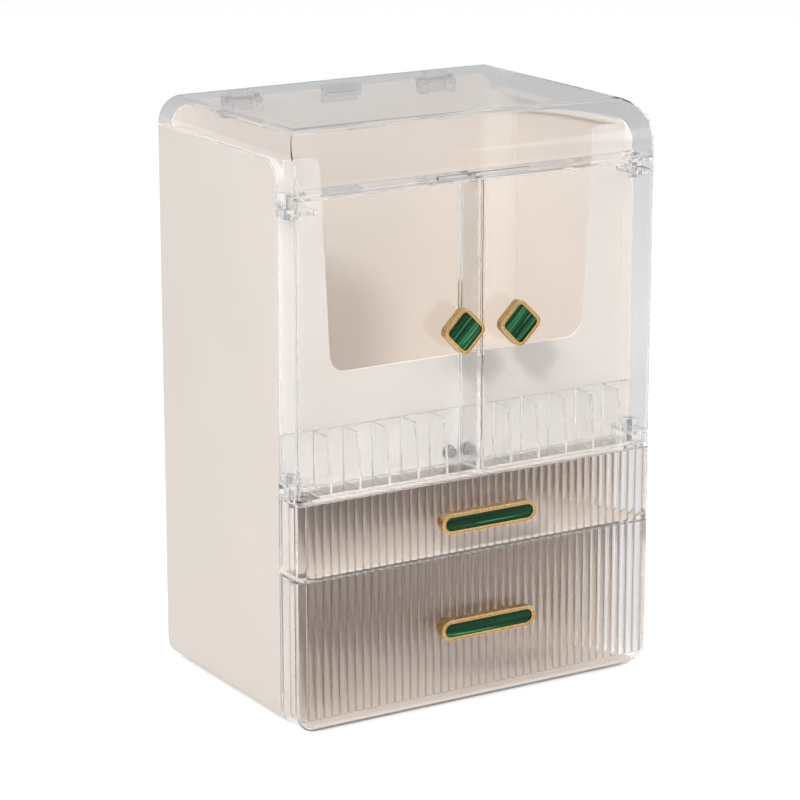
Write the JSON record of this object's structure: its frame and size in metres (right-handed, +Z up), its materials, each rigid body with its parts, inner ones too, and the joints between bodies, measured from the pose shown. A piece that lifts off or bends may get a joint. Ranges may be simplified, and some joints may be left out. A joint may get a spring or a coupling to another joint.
{
  "type": "makeup organizer",
  "caption": "Upright makeup organizer: cream cabinet with a clear hinged lid over a top compartment, clear doors with lipstick racks, and clear reeded drawers with inlaid handles.",
  "frame": {"origin": "centre of the footprint, on the surface that the organizer stands on", "axes": "+X to the viewer's right when facing the doors, +Y to the back, +Z up; the doors face -Y"},
  "size_m": [0.3, 0.218, 0.4312],
  "materials": {
    "cream_plastic": "satin",
    "clear_plastic": "clear and polished",
    "gold_metal": "polished gold",
    "green_stone": "polished, banded like malachite",
    "steel": "plain",
    "rubber": "matte"
  },
  "bodies": {
    "cabinet": {"cabinet_shell": "cream_plastic", "back_panel": "cream_plastic", "front_apron": "cream_plastic", "compartment_floor": "cream_plastic", "drawer_shelf": "cream_plastic", "foot_pads": "rubber", "strike_discs": "steel", "lid_bumpers": "rubber", "lid_rest_block": "clear_plastic", "left_drawer_guides": "cream_plastic", "right_drawer_guides": "cream_plastic", "left_lid_hinge_bracket": "clear_plastic", "right_lid_hinge_bracket": "clear_plastic", "left_lid_hinge_pin": "steel", "right_lid_hinge_pin": "steel", "left_upper_hinge_arm": "clear_plastic", "left_lower_hinge_arm": "clear_plastic", "right_upper_hinge_arm": "clear_plastic", "right_lower_hinge_arm": "clear_plastic"},
    "lid": {"lid_cover": "clear_plastic"},
    "left_door": {"left_door_panel": "clear_plastic", "left_door_rack": "clear_plastic", "left_door_magnet": "steel", "left_door_pins": "steel", "left_knob": "gold_metal", "left_knob_stone": "green_stone", "left_knob_screw": "steel"},
    "right_door": {"right_door_panel": "clear_plastic", "right_door_rack": "clear_plastic", "right_door_magnet": "steel", "right_door_pins": "steel", "right_knob": "gold_metal", "right_knob_stone": "green_stone", "right_knob_screw": "steel"},
    "upper_drawer": {"upper_drawer_front": "clear_plastic", "upper_drawer_walls": "cream_plastic", "upper_drawer_floor": "cream_plastic", "upper_pull": "gold_metal", "upper_pull_stone": "green_stone", "upper_pull_screws": "steel"},
    "lower_drawer": {"lower_drawer_front": "clear_plastic", "lower_drawer_walls": "cream_plastic", "lower_drawer_floor": "cream_plastic", "lower_pull": "gold_metal", "lower_pull_stone": "green_stone", "lower_pull_screws": "steel"}
  },
  "joints": [
    {"name": "lid_hinge", "type": "hinge", "parent": "cabinet", "child": "lid", "pos_m": [0, 0.1048, 0.4232], "axis": [-1, 0, 0], "range_deg": [0, 100]},
    {"name": "left_door_hinge", "type": "hinge", "parent": "cabinet", "child": "left_door", "pos_m": [-0.1445, -0.0735, 0.28], "axis": [0, 0, -1], "range_deg": [0, 110]},
    {"name": "right_door_hinge", "type": "hinge", "parent": "cabinet", "child": "right_door", "pos_m": [0.1445, -0.0735, 0.28], "axis": [0, 0, 1], "range_deg": [0, 110]},
    {"name": "upper_drawer_slide", "type": "slide", "parent": "cabinet", "child": "upper_drawer", "axis": [0, -1, 0], "range_m": [0, 0.12]},
    {"name": "lower_drawer_slide", "type": "slide", "parent": "cabinet", "child": "lower_drawer", "axis": [0, -1, 0], "range_m": [0, 0.12]}
  ]
}
